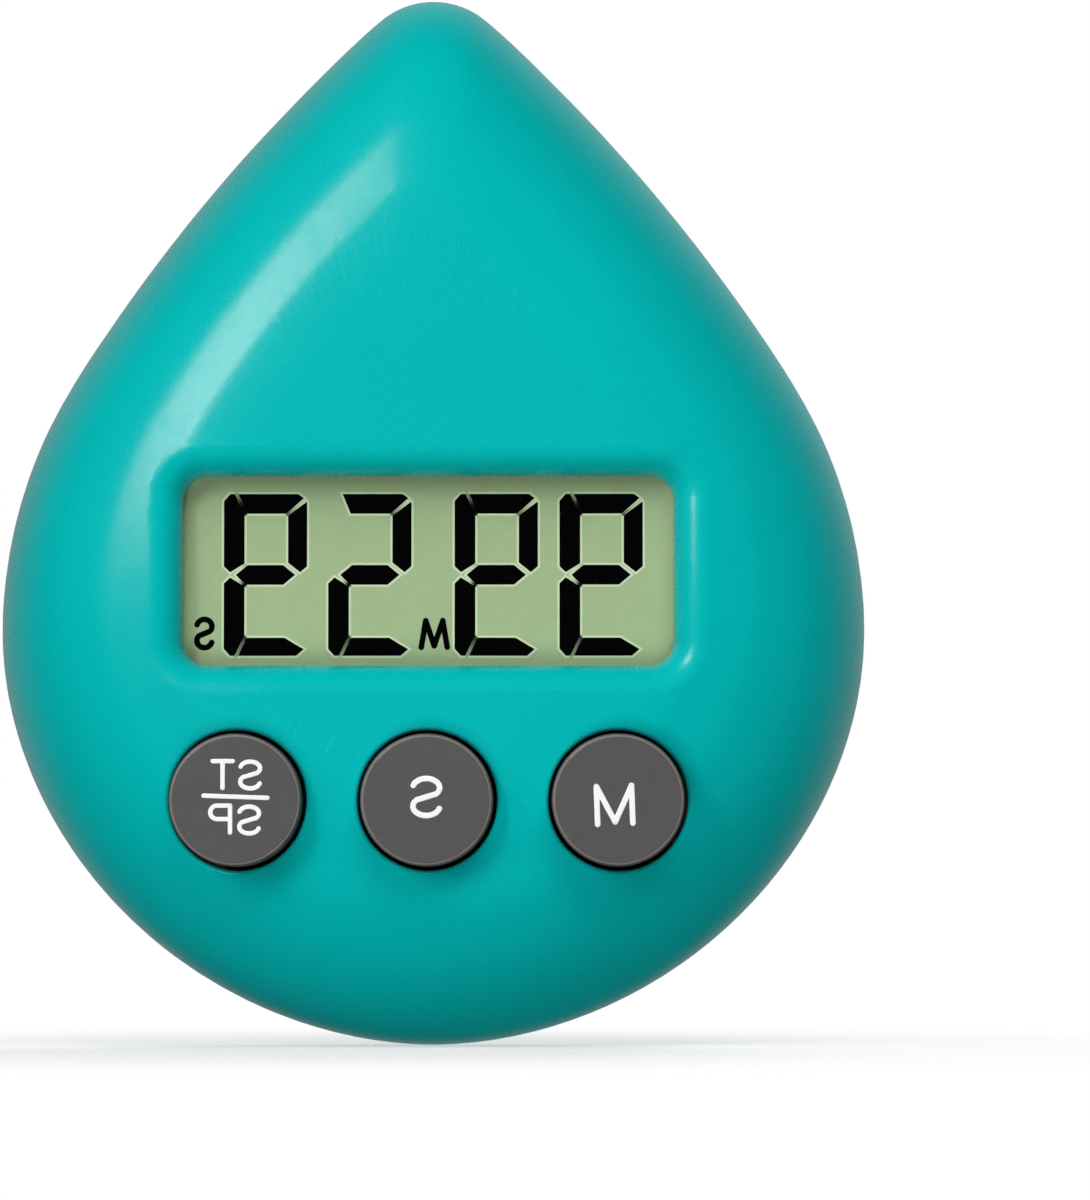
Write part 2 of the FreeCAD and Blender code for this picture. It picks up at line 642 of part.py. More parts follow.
# ================================================================ circuit board
def circuit_board():
    """A board with cut corners: wide behind the display, narrower at both ends."""
    half = BOARD_HALF_WIDTH
    corners = [(half, -17.0), (half, 17.0), (17.0, BOARD_TOP_Z), (-17.0, BOARD_TOP_Z),
               (-half, 17.0), (-half, -17.0), (-14.0, BOARD_BOTTOM_Z), (14.0, BOARD_BOTTOM_Z)]
    path = [V(x, BOARD_FRONT_Y, z) for x, z in corners]
    board = Part.Face(Part.makePolygon(path + [path[0]])).extrude(V(0, BOARD_BACK_Y - BOARD_FRONT_Y, 0))
    for x, z in BOARD_SCREWS:
        board = board.cut(disc(BOARD_SCREW_RADIUS + 0.2, (-BIG, 0.0), x, z))
    for x, z in SHELL_SCREWS:
        board = board.cut(disc(BOSS_RADIUS + 0.4, (-BIG, 0.0), x, z))
    return board


def chip_blob():
    """The drop of black resin over the controller chip."""
    height = 1.3
    radius = 5.0
    sphere_radius = (radius ** 2 + height ** 2) / (2 * height)
    centre_y = BOARD_BACK_Y + height - sphere_radius
    ball = Part.makeSphere(sphere_radius, V(0, centre_y, 9.5))
    return ball.common(disc(radius + 1, (BOARD_BACK_Y, 0.0), 0.0, 9.5))


def crystal():
    """A small metal can that lies on the board, with its two leads."""
    y = BOARD_BACK_Y + 1.0
    pieces = [bar(1.0, (8.0, 14.0), y, 14.0)]
    for z in (13.6, 14.4):
        lead_z = (z - 0.15, z + 0.15)
        pieces.append(box((6.0, 8.0), (y - 0.15, y + 0.15), lead_z))
        pieces.append(box((5.7, 6.0), (BOARD_BACK_Y, y + 0.15), lead_z))
    return fused(pieces)


def sounder_coil():
    """A drum coil that raises the sounder's voltage."""
    points = [(0, 0), (2.6, 0), (2.6, 0.8), (2.1, 0.8), (2.1, 3.4), (2.6, 3.4), (2.6, 4.2), (0, 4.2)]
    return turned(points, V(-12.0, BOARD_BACK_Y, 13.5), ALONG_Y)


def drive_transistor():
    """A round-backed transistor that stands on the board."""
    body = disc(2.3, (BOARD_BACK_Y + 1.2, BOARD_BACK_Y + 5.6), -9.5, 19.8)
    body = body.cut(box((-BIG, BIG), (-BIG, BIG), (21.0, BIG)))
    legs = []
    for x in (-10.7, -9.5, -8.3):
        legs.append(box((x - 0.2, x + 0.2), (BOARD_BACK_Y, BOARD_BACK_Y + 1.2), (19.6, 20.0)))
    return fused([body] + legs)


def smd_parts():
    """Small resistors and capacitors on the back of the board."""
    places = [(8.5, 7.0), (8.5, 10.0), (12.5, 7.0), (12.5, 10.0), (17.0, 9.0), (17.0, 13.0),
              (-9.0, 7.0), (-17.5, 8.0), (-17.5, 11.5), (5.0, 19.0), (-16.0, -16.0), (16.0, -16.0)]
    parts = []
    for x, z in places:
        parts.append(box((x - 0.8, x + 0.8), (BOARD_BACK_Y, BOARD_BACK_Y + 0.55), (z - 0.4, z + 0.4)))
    return grouped(parts)


# ================================================================ cell and contacts
def battery_can():
    """The steel can of an AAA cell: crimped at the positive end, flat at the negative end."""
    radius = CELL_RADIUS - CELL_FILM
    length = CELL_LENGTH - 1.0
    points = [(0, 0), (radius - 0.6, 0), (radius, 0.6), (radius, length - 2.2), (radius - 0.4, length - 1.9),
              (radius, length - 1.6), (radius, length - 0.5), (radius - 0.5, length), (0, length)]
    return turned(points, V(-CELL_LENGTH / 2, CELL_Y, CELL_Z), ALONG_X)


def battery_sleeve():
    x = (-CELL_LENGTH / 2 + 0.7, CELL_LENGTH / 2 - 3.4)
    outside = bar(CELL_RADIUS, x, CELL_Y, CELL_Z)
    return outside.cut(bar(CELL_RADIUS - CELL_FILM, x, CELL_Y, CELL_Z))


def battery_positive_cap():
    points = [(0, 0), (3.4, 0), (3.4, 0.25), (1.9, 0.25), (1.9, 0.85), (1.7, 1.0), (0, 1.0)]
    return turned(points, V(CELL_LENGTH / 2 - 1.0, CELL_Y, CELL_Z), ALONG_X)


def contact_plate(inner_x, outer_x, tab_x):
    """A spring-metal plate at one end of the bay, with a solder tab through the end wall."""
    sheet_z = (CELL_Z - CONTACT_HALF_HEIGHT, CELL_Z + CONTACT_HALF_HEIGHT)
    sheet = box(sorted((inner_x, outer_x)), CONTACT_Y, sheet_z)
    tab_y = (CONTACT_Y[0], CONTACT_Y[0] + CONTACT_THICKNESS)
    tab = box(sorted((inner_x, tab_x)), tab_y, (CELL_Z - TAB_HALF_HEIGHT, CELL_Z + TAB_HALF_HEIGHT))
    return [sheet, tab]


def positive_contact():
    inner = BAY_X[1] - CONTACT_THICKNESS
    tip = CELL_LENGTH / 2
    pieces = contact_plate(inner, BAY_X[1], BAY_X[1] + BAY_WALL + TAB_REACH)
    pieces.append(Part.makeCone(1.4, 2.2, inner - tip, V(tip, CELL_Y, CELL_Z), ALONG_X))
    return fused(pieces)


def negative_contact():
    inner = BAY_X[0] + CONTACT_THICKNESS
    return fused(contact_plate(inner, BAY_X[0], BAY_X[0] - BAY_WALL - TAB_REACH))


def negative_spring():
    """A conical spring between the plate and the cell, closed up by the cell."""
    first, last = SPRING_RADII
    start = BAY_X[0] + CONTACT_THICKNESS + SPRING_WIRE / 2
    height = -CELL_LENGTH / 2 - SPRING_WIRE / 2 - start
    cone = math.degrees(math.atan2(last - first, height))
    coil = Part.makeHelix(height / SPRING_TURNS, height, first, cone)
    section = Part.Wire(Part.makeCircle(SPRING_WIRE / 2, V(first, 0, 0), ALONG_Y))
    spring = Part.Wire(coil).makePipeShell([section], True, True)
    spring.rotate(V(0, 0, 0), ALONG_Y, 90)
    spring.translate(V(start, CELL_Y, CELL_Z))
    return spring


# ================================================================ sounder, magnets, screws, wires
def piezo_disc():
    return disc(SOUNDER_RADIUS, (SOUNDER_SEAT_Y - SOUNDER_SHEET, SOUNDER_SEAT_Y), 0.0, SOUNDER_Z)


def piezo_ceramic():
    y = (SOUNDER_SEAT_Y - 2 * SOUNDER_SHEET, SOUNDER_SEAT_Y - SOUNDER_SHEET)
    return disc(CERAMIC_RADIUS, y, 0.0, SOUNDER_Z)


def magnet(x):
    body = disc(MAGNET_RADIUS, MAGNET_Y, x, MAGNET_Z)
    return body.makeChamfer(0.25, [e for e in body.Edges if e.isClosed()])


def screw(x, z, radius, head, head_y, tip_y):
    """A self-tapping screw that goes in from the back, with a cross slot in its head."""
    head_radius, head_height = head
    length = head_y - tip_y
    points = [(0, 0), (radius * 0.3, 0), (radius, 1.2), (radius, length), (head_radius, length),
              (head_radius, length + head_height * 0.6), (head_radius * 0.7, length + head_height),
              (0, length + head_height)]
    body = turned(points, V(x, tip_y, z), ALONG_Y)
    slot_y = (head_y + head_height * 0.4, BIG)
    reach = head_radius * 0.62
    blade = radius * 0.2
    body = body.cut(box((x - reach, x + reach), slot_y, (z - blade, z + blade)))
    return body.cut(box((x - blade, x + blade), slot_y, (z - reach, z + reach)))


def housing_screws():
    screws = []
    head_y = SHELL_SCREW_HEAD_Y
    for x, z in SHELL_SCREWS:
        screws.append(screw(x, z, SHELL_SCREW_RADIUS, SHELL_SCREW_HEAD, head_y, SHELL_SCREW_TIP_Y))
    return grouped(screws)


def board_screws():
    screws = []
    for x, z in BOARD_SCREWS:
        tip_y = BOARD_FRONT_Y - BOARD_SCREW_DEPTH
        screws.append(screw(x, z, BOARD_SCREW_RADIUS, BOARD_SCREW_HEAD, BOARD_BACK_Y, tip_y))
    return grouped(screws)


def battery_wire(side, tab_x):
    """From a contact's solder tab, up beside the bay and on to the back of the board."""
    tab_y = CONTACT_Y[0] + CONTACT_THICKNESS / 2
    tab_top = CELL_Z + TAB_HALF_HEIGHT
    board_x = side * 21.5
    board_z = tab_top + 9.0
    return wire_along([
        V(tab_x, tab_y, tab_top), V(tab_x, tab_y, tab_top + 7.2),
        V(board_x, -9.6, board_z), V(board_x, BOARD_BACK_Y, board_z)])


def sounder_wire(x, start_y):
    """From the sounder forward to the back of the board, below the sounder's edge."""
    start_z = SOUNDER_Z - 4.0
    board_x = x * 1.6
    board_z = SOUNDER_Z - 8.5
    return wire_along([
        V(x, start_y, start_z), V(x, start_y - 4.5, start_z),
        V(board_x, -9.0, board_z), V(board_x, BOARD_BACK_Y, board_z)])


# ================================================================ all nodes
def nodes():
    made = {
        "front_shell": front_shell(),
        "rear_cover": rear_cover(),
        "battery_door": battery_door(),
        "display_lens": display_lens(),
        "lcd_front_polariser": glass_sheet(POLARISER_Y, REAR_GLASS_TOP_Z),
        "lcd_front_glass": glass_sheet(FRONT_GLASS_Y, GLASS_Z[1]),
        "lcd_rear_glass": glass_sheet(REAR_GLASS_Y, REAR_GLASS_TOP_Z),
        "lcd_reflector": glass_sheet(REFLECTOR_Y, REAR_GLASS_TOP_Z),
        "lcd_foam_pad": lcd_foam_pad(),
        "zebra_connector": zebra_connector(),
        "circuit_board": circuit_board(),
        "chip_blob": chip_blob(),
        "crystal": crystal(),
        "sounder_coil": sounder_coil(),
        "drive_transistor": drive_transistor(),
        "smd_parts": smd_parts(),
        "contact_pads": contact_pads(),
        "keypad_membrane": keypad_membrane(),
        "battery_can": battery_can(),
        "battery_sleeve": battery_sleeve(),
        "battery_positive_cap": battery_positive_cap(),
        "positive_contact": positive_contact(),
        "negative_contact": negative_contact(),
        "negative_spring": negative_spring(),
        "piezo_disc": piezo_disc(),
        "piezo_ceramic": piezo_ceramic(),
        "magnet_left": magnet(-MAGNET_X),
        "magnet_right": magnet(MAGNET_X),
        "housing_screws": housing_screws(),
        "board_screws": board_screws(),
        "battery_wire_positive": battery_wire(1, 26.6),
        "battery_wire_negative": battery_wire(-1, -27.8),
        "sounder_wire_case": sounder_wire(8.4, SOUNDER_SEAT_Y - SOUNDER_SHEET),
        "sounder_wire_ceramic": sounder_wire(-2.5, SOUNDER_SEAT_Y - 2 * SOUNDER_SHEET),
    }
    for name, x in zip(BUTTON_NAMES, BUTTON_X):
        made[name + "_button"] = button(x)
        made[name + "_pill"] = contact_pill(x)
    return made


os.makedirs("parts", exist_ok=True)
for name, shape in nodes().items():
    shape.translate(V(0, 0, -MAGNET_Z))
    shape.exportStep("parts/" + name + ".step")
    print(name, "solids", len(shape.Solids), "valid", shape.isValid(), "volume", round(shape.Volume, 1))
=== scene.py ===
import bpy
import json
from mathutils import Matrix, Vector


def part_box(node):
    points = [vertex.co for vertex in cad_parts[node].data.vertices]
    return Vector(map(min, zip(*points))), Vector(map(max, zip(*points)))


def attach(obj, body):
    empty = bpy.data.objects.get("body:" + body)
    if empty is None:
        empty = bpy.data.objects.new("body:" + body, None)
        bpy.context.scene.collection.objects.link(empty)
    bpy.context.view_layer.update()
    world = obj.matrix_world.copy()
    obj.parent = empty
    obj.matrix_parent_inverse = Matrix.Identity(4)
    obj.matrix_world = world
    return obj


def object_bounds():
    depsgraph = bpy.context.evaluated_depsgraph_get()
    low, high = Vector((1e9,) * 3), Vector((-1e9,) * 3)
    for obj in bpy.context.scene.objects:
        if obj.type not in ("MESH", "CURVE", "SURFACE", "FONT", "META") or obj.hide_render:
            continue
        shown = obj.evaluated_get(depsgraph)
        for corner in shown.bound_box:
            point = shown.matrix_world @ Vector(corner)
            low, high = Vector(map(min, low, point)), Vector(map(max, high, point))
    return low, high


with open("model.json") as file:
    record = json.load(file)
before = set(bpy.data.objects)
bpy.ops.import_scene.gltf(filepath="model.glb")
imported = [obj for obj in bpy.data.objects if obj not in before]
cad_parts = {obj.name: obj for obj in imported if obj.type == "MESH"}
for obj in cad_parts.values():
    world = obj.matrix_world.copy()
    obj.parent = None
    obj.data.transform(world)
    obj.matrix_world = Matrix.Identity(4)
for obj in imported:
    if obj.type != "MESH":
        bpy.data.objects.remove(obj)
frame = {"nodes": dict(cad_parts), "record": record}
cad_box = [list(corner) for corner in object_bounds()]

import json
import math

import bmesh
import bpy
from mathutils import Vector

# A drop-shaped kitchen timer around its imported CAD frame. Metres, +Z up, the display faces -Y.

MM = 0.001
MIRRORED = True  # each digit and letter is drawn backwards, as in a mirror
READING = -1 if MIRRORED else 1  # the way along X that a digit or a letter reads

BOTTOM_DEPTH = 33.4 * MM  # from the widest level down to the lowest point
LEVEL_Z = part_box("front_shell")[0].z + BOTTOM_DEPTH  # the level where the drop is widest
LENS_LOW, LENS_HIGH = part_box("display_lens")
FILM_LOW, FILM_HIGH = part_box("lcd_front_polariser")
MIDDLE_Y = -12 * MM  # halfway through the timer's depth
DISPLAY_X = (FILM_LOW.x + FILM_HIGH.x) / 2  # the middle of the display
DISPLAY_Z = (LENS_LOW.z + LENS_HIGH.z) / 2
NODE_SLOTS = {part["node"]: part["material_slot"] for part in frame["record"]["subparts"]}


def collect(obj, body=None):
    """Links a new object, and says which body it rides on."""
    bpy.context.scene.collection.objects.link(obj)
    if body:
        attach(obj, body)
    return obj


def srgb(red, green, blue):
    """A colour given in 8-bit display values, as the shader wants it."""
    linear = []
    for value in (red, green, blue):
        share = value / 255
        linear.append(share / 12.92 if share <= 0.04045 else ((share + 0.055) / 1.055) ** 2.4)
    return (*linear, 1.0)


# ================================================================ shader nodes
def ramp(nodes, links, value, start, end, low=0.0, high=1.0, smooth=False):
    """A value's way from start to end, spread over the range from low to high."""
    spread = nodes.new("ShaderNodeMapRange")
    if smooth:
        spread.interpolation_type = "SMOOTHSTEP"
    spread.inputs["From Min"].default_value = start
    spread.inputs["From Max"].default_value = end
    spread.inputs["To Min"].default_value = low
    spread.inputs["To Max"].default_value = high
    links.new(value, spread.inputs["Value"])
    return spread.outputs["Result"]


def blend(nodes, links, factor, one, two):
    """The colour that a factor picks between two, each of them a colour or the socket of one."""
    mix = nodes.new("ShaderNodeMix")
    mix.data_type = "RGBA"
    links.new(factor, mix.inputs["Factor"])
    for name, colour in (("A", one), ("B", two)):
        if isinstance(colour, tuple):
            mix.inputs[name].default_value = colour
        else:
            links.new(colour, mix.inputs[name])
    return mix.outputs["Result"]


def along(nodes, links, vector, axis):
    """One part of a vector, such as its X."""
    split = nodes.new("ShaderNodeSeparateXYZ")
    links.new(vector, split.inputs["Vector"])
    return split.outputs[axis]


def noise(nodes, links, scale, detail=3.0, stretch=(1, 1, 1)):
    """A noise texture fixed to the object, with its scale in cycles per metre."""
    place = nodes.new("ShaderNodeTexCoord")
    mapping = nodes.new("ShaderNodeMapping")
    mapping.inputs["Scale"].default_value = stretch
    texture = nodes.new("ShaderNodeTexNoise")
    texture.inputs["Scale"].default_value = scale
    texture.inputs["Detail"].default_value = detail
    links.new(place.outputs["Object"], mapping.inputs["Vector"])
    links.new(mapping.outputs["Vector"], texture.inputs["Vector"])
    return texture.outputs["Fac"]


def uneven(nodes, links, noise_value, low, high):
    """A noise value, whose usual run is a quarter to three quarters, spread from low to high."""
    return ramp(nodes, links, noise_value, 0.25, 0.75, low, high)


def new_material(name):
    """A node material, with its nodes, its links and its surface shader."""
    material = bpy.data.materials.new(name)
    material.use_nodes = True
    nodes = material.node_tree.nodes
    return material, nodes, material.node_tree.links, nodes["Principled BSDF"]


# ================================================================ camera, light, floor
def direction(azimuth, elevation):
    """A unit vector from the timer, in degrees: azimuth turns to the right from straight in front."""
    turn = math.radians(azimuth)
    lift = math.radians(elevation)
    return Vector((math.sin(turn) * math.cos(lift), -math.cos(turn) * math.cos(lift), math.sin(lift)))


def make_camera():
    """A long lens almost straight in front and a little low, with the timer left of the middle."""
    distance = 480 * MM
    view_height = 97.6 * MM  # what the picture's height covers at the target
    sensor = 36.0
    target = Vector((9.06 * MM, -7 * MM, LEVEL_Z + 2.68 * MM))
    toward = direction(0.7, -3)
    data = bpy.data.cameras.new("camera")
    data.sensor_fit = "VERTICAL"
    data.sensor_height = sensor
    data.lens = sensor * distance / view_height
    data.clip_start = 0.01
    data.clip_end = 20
    camera = collect(bpy.data.objects.new("camera", data))
    camera.location = target + toward * distance
    camera.rotation_euler = (-toward).to_track_quat("-Z", "Y").to_euler()
    bpy.context.scene.camera = camera


def softbox(name, azimuth, elevation, distance, width, height, share, mirrored=False):
    """A softbox aimed at the middle of the timer.

    The share is how bright it makes a white card that faces it, and only a mirrored one shows in glossy
    surfaces."""
    toward = direction(azimuth, elevation)
    data = bpy.data.lights.new(name, "AREA")
    data.shape = "RECTANGLE"
    data.size = width
    data.size_y = height
    data.energy = (math.pi * distance) ** 2 * share
    light = collect(bpy.data.objects.new(name, data))
    light.location = Vector((0, MIDDLE_Y, LEVEL_Z)) + toward * distance
    light.rotation_euler = (-toward).to_track_quat("-Z", "Y").to_euler()
    # both lines are needed to keep a fill's own image out of a satin surface
    light.visible_glossy = mirrored
    data.cycles.use_multiple_importance_sampling = mirrored


def make_lights():
    """One tall strip for the long highlight, and fills that only brighten."""
    softbox("tall_strip", -33, 22, 0.9, 0.15, 0.35, 0.31, mirrored=True)
    softbox("left_key", -55, 15, 0.9, 0.45, 0.45, 0.16)
    softbox("top_front", 15, 50, 1.0, 0.60, 0.60, 0.59)
    softbox("low_front", -8, -30, 1.0, 0.50, 0.50, 0.46)
    softbox("right_side", 110, -20, 0.9, 0.45, 0.45, 0.22)
    softbox("back_fill", 160, 35, 1.2, 0.80, 0.80, 0.80)


def make_world():
    """White for the camera, and for reflections a studio that is dark but for a pale wall behind."""
    world = bpy.data.worlds.new("studio")
    bpy.context.scene.world = world
    world.use_nodes = True
    nodes = world.node_tree.nodes
    links = world.node_tree.links
    nodes.clear()
    path = nodes.new("ShaderNodeLightPath")
    toward = nodes.new("ShaderNodeTexCoord").outputs["Generated"]
    behind = ramp(nodes, links, along(nodes, links, toward, "Y"), 0.2, 0.9, 0.0, 0.45)
    above_floor = ramp(nodes, links, along(nodes, links, toward, "Z"), -0.5, -0.2)
    wall = nodes.new("ShaderNodeMath")
    wall.operation = "MULTIPLY"
    mirrored = nodes.new("ShaderNodeMath")
    mirrored.operation = "MULTIPLY_ADD"
    mirrored.inputs[2].default_value = 0.02
    around = nodes.new("ShaderNodeBackground")
    seen = nodes.new("ShaderNodeBackground")
    seen.inputs["Color"].default_value = (1, 1, 1, 1)
    mix = nodes.new("ShaderNodeMixShader")
    output = nodes.new("ShaderNodeOutputWorld")
    links.new(behind, wall.inputs[0])
    links.new(above_floor, wall.inputs[1])
    links.new(wall.outputs["Value"], mirrored.inputs[0])
    links.new(path.outputs["Is Glossy Ray"], mirrored.inputs[1])
    links.new(mirrored.outputs["Value"], around.inputs["Strength"])
    links.new(path.outputs["Is Camera Ray"], mix.inputs["Fac"])
    links.new(around.outputs["Background"], mix.inputs[1])
    links.new(seen.outputs["Background"], mix.inputs[2])
    links.new(mix.outputs["Shader"], output.inputs["Surface"])


def make_floor():
    """A pale round floor that the drop's lowest point stands on, fading out at its edge."""
    radius = 0.12
    mesh = bpy.data.meshes.new("floor")
    builder = bmesh.new()
    bmesh.ops.create_circle(builder, cap_ends=True, radius=radius, segments=96)
    builder.to_mesh(mesh)
    builder.free()
    floor = collect(bpy.data.objects.new("floor", mesh))
    floor.location = (0, MIDDLE_Y, cad_box[0][2] - 0.05 * MM)
    material, nodes, links, shader = new_material("floor_white")
    shader.inputs["Base Color"].default_value = (0.93, 0.93, 0.93, 1)
    shader.inputs["Roughness"].default_value = 0.9
    place = nodes.new("ShaderNodeTexCoord")
    distance = nodes.new("ShaderNodeVectorMath")
    distance.operation = "LENGTH"
    links.new(place.outputs["Object"], distance.inputs[0])
    fade = ramp(nodes, links, distance.outputs["Value"], 0.01, 0.09, 0.45, 0.0, smooth=True)
    links.new(fade, shader.inputs["Alpha"])
    mesh.materials.append(material)
    floor.visible_shadow = False
    floor.visible_diffuse = False
    floor.visible_glossy = False


# ================================================================ materials
def surface(name, colour, second=None, roughness=(0.4, 0.5), blotch=300, grain=4000, bump=0.1,
            depth=0.02, metallic=0.0, specular=0.5, stretch=(1, 1, 1), alpha=1.0, coat=0.0):
    """A surface with blotches between two colours, uneven gloss, and a fine grain in its height.

    blotch and grain are in cycles per metre, and depth is the grain's height in millimetres."""
    material, nodes, links, shader = new_material(name)
    second = second or tuple(channel * 0.9 for channel in colour[:3]) + (1.0,)
    blotches = uneven(nodes, links, noise(nodes, links, blotch, 4.0, stretch), 0.0, 1.0)
    links.new(blend(nodes, links, blotches, colour, second), shader.inputs["Base Color"])
    grains = noise(nodes, links, grain, 2.0, stretch)
    links.new(uneven(nodes, links, grains, *roughness), shader.inputs["Roughness"])
    height = nodes.new("ShaderNodeBump")
    height.inputs["Strength"].default_value = bump
    height.inputs["Distance"].default_value = depth * MM
    links.new(grains, height.inputs["Height"])
    links.new(height.outputs["Normal"], shader.inputs["Normal"])
    shader.inputs["Metallic"].default_value = metallic
    shader.inputs["Specular IOR Level"].default_value = specular
    shader.inputs["Alpha"].default_value = alpha
    shader.inputs["Coat Weight"].default_value = coat
    shader.inputs["Coat Roughness"].default_value = 0.15
    return material


def shell_plastic():
    """Moulded turquoise plastic: satin, with the fine grain that sparkles in a highlight."""
    return surface("turquoise_shell", srgb(0, 185, 183), srgb(0, 182, 180), (0.22, 0.32), 120, 6500,
                   0.35, 0.03, specular=0.45)


def button_plastic():
    """Matt dark grey plastic, with a painted highlight: a paler band along the round of the rim."""
    material = surface("grey_button", srgb(87, 87, 87), srgb(83, 83, 83), (0.48, 0.62), 900, 7000,
                       0.30, 0.02, specular=0.4)
    nodes = material.node_tree.nodes
    links = material.node_tree.links
    shader = nodes["Principled BSDF"]
    normal = nodes.new("ShaderNodeNewGeometry").outputs["Normal"]
    turned = ramp(nodes, links, along(nodes, links, normal, "Y"), -1.0, 0.0)  # 0 faces the front
    # painted highlight: a pale brownish band where the rim turns just off the front, coloured in as the
    # light the rim would catch
    rim_highlight_band = nodes.new("ShaderNodeValToRGB")
    rim_highlight_band.color_ramp.elements[0].position = 0.02
    rim_highlight_band.color_ramp.elements[0].color = (0, 0, 0, 1)
    rim_highlight_band.color_ramp.elements[1].position = 0.10
    rim_highlight_band.color_ramp.elements[1].color = (1, 1, 1, 1)
    rim_highlight_band.color_ramp.elements.new(0.35).color = (0, 0, 0, 1)
    links.new(turned, rim_highlight_band.inputs["Fac"])
    face_colour = shader.inputs["Base Color"].links[0].from_socket
    painted_rim_highlight = blend(nodes, links, rim_highlight_band.outputs["Color"], face_colour, srgb(142, 130, 122))
    links.new(painted_rim_highlight, shader.inputs["Base Color"])
    return material


def clear_lens():
    """Clear plastic: see-through, and a mirror only as far as the angle of sight makes it one."""
    material, nodes, links, shader = new_material("clear_lens")
    facing = nodes.new("ShaderNodeLayerWeight")
    facing.inputs["Blend"].default_value = 0.5
    steep = nodes.new("ShaderNodeMath")
    steep.operation = "POWER"
    steep.inputs[1].default_value = 5.0
    mirrored = nodes.new("ShaderNodeMath")
    mirrored.operation = "MULTIPLY_ADD"
    mirrored.inputs[1].default_value = 0.97
    mirrored.inputs[2].default_value = 0.015
    links.new(facing.outputs["Facing"], steep.inputs[0])
    links.new(steep.outputs["Value"], mirrored.inputs[0])
    links.new(mirrored.outputs["Value"], shader.inputs["Alpha"])
    marks = noise(nodes, links, 400, 2.0)
    links.new(uneven(nodes, links, marks, 0.03, 0.08), shader.inputs["Roughness"])
    shader.inputs["Base Color"].default_value = (1, 1, 1, 1)
    shader.inputs["Metallic"].default_value = 1.0
    return material


def polariser_film():
    """The display's grey-green ground, with the faint mottle of the liquid crystal."""
    return surface("display_ground", srgb(163, 187, 142), srgb(159, 182, 138), (0.5, 0.6), 900, 9000,
                   0.05, 0.01, specular=0.2)


def lcd_glass():
    return surface("display_glass", srgb(190, 205, 185), None, (0.05, 0.1), 300, 900, 0.02, 0.01,
                   alpha=0.35)


def reflector_film():
    return surface("silver_film", srgb(190, 195, 188), None, (0.25, 0.35), 500, 8000, 0.1, 0.01,
                   metallic=0.8)


def foam():
    return surface("grey_foam", srgb(60, 60, 62), srgb(34, 34, 36), (0.9, 1.0), 2500, 2500, 0.9, 0.25)


def zebra_rubber():
    """Layers of clear and conducting rubber, finer than the eye separates."""
    material, nodes, links, shader = new_material("zebra_rubber")
    place = nodes.new("ShaderNodeTexCoord")
    stripes = nodes.new("ShaderNodeTexWave")
    stripes.bands_direction = "X"
    stripes.inputs["Scale"].default_value = 1600
    links.new(place.outputs["Object"], stripes.inputs["Vector"])
    layers = blend(nodes, links, stripes.outputs["Fac"], srgb(225, 160, 165), srgb(45, 40, 42))
    links.new(layers, shader.inputs["Base Color"])
    shader.inputs["Roughness"].default_value = 0.6
    return material


def board():
    return surface("green_board", srgb(22, 98, 52), srgb(16, 84, 44), (0.25, 0.4), 1500, 3500, 0.25, 0.03)


def epoxy():
    return surface("black_resin", srgb(16, 16, 17), srgb(24, 24, 25), (0.12, 0.25), 600, 1500, 0.15, 0.05)


def tin():
    return surface("tin_can", srgb(205, 205, 202), srgb(180, 180, 178), (0.22, 0.38), 400, 9000, 0.15, 0.01,
                   metallic=1.0, stretch=(0.1, 1, 1))


def ferrite():
    return surface("ferrite", srgb(52, 52, 55), srgb(38, 38, 40), (0.6, 0.8), 900, 3500, 0.4, 0.05)


def component_black():
    return surface("moulded_black", srgb(18, 18, 19), srgb(26, 26, 27), (0.5, 0.7), 900, 5000, 0.3, 0.02)


def component_tan():
    return surface("tan_ceramic", srgb(176, 146, 108), srgb(150, 120, 86), (0.5, 0.7), 1500, 5000,
                   0.3, 0.02)


def carbon():
    return surface("carbon_ink", srgb(20, 20, 20), srgb(34, 34, 34), (0.6, 0.8), 2000, 6000, 0.3, 0.02)


def silicone():
    return surface("grey_silicone", srgb(186, 186, 180), srgb(172, 172, 166), (0.55, 0.7), 500, 4000,
                   0.2, 0.02)


def spring_steel():
    return surface("nickel_spring", srgb(210, 207, 198), srgb(188, 185, 176), (0.18, 0.32), 600, 6000, 0.15,
                   0.01, metallic=1.0)


def cell_steel():
    return surface("nickel_can", srgb(214, 213, 210), srgb(194, 193, 190), (0.16, 0.30), 500, 8000, 0.15,
                   0.01, metallic=1.0, stretch=(0.08, 1, 1))


def cell_label():
    """Shrink film with a copper band at the positive end and a dark body."""
    material = surface("cell_film", srgb(32, 33, 38), srgb(26, 27, 31), (0.22, 0.32), 400, 3000, 0.05, 0.01,
                       coat=0.4)
    nodes = material.node_tree.nodes
    links = material.node_tree.links
    shader = nodes["Principled BSDF"]
    band_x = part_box("battery_sleeve")[1].x - 9 * MM
    blur = 0.05 * MM
    place = nodes.new("ShaderNodeTexCoord").outputs["Object"]
    edge = ramp(nodes, links, along(nodes, links, place, "X"), band_x - blur, band_x + blur)
    body_colour = shader.inputs["Base Color"].links[0].from_socket
    links.new(blend(nodes, links, edge, body_colour, srgb(176, 112, 58)), shader.inputs["Base Color"])
    return material


def brass():
    return surface("rolled_brass", srgb(212, 178, 98), srgb(192, 156, 82), (0.22, 0.36), 700, 6000, 0.15,
                   0.01, metallic=1.0)


def piezo():
    return surface("silvered_ceramic", srgb(222, 218, 206), srgb(206, 202, 190), (0.35, 0.5), 900, 5000, 0.2,
                   0.01, metallic=0.4)


def magnet():
    return surface("nickel_magnet", srgb(208, 208, 210), srgb(198, 198, 201), (0.14, 0.22), 350, 2500, 0.06,
                   0.01, metallic=1.0)


def screw_steel():
    return surface("zinc_screw", srgb(186, 188, 192), srgb(150, 152, 158), (0.2, 0.4), 1800, 7000, 0.2, 0.01,
                   metallic=1.0)


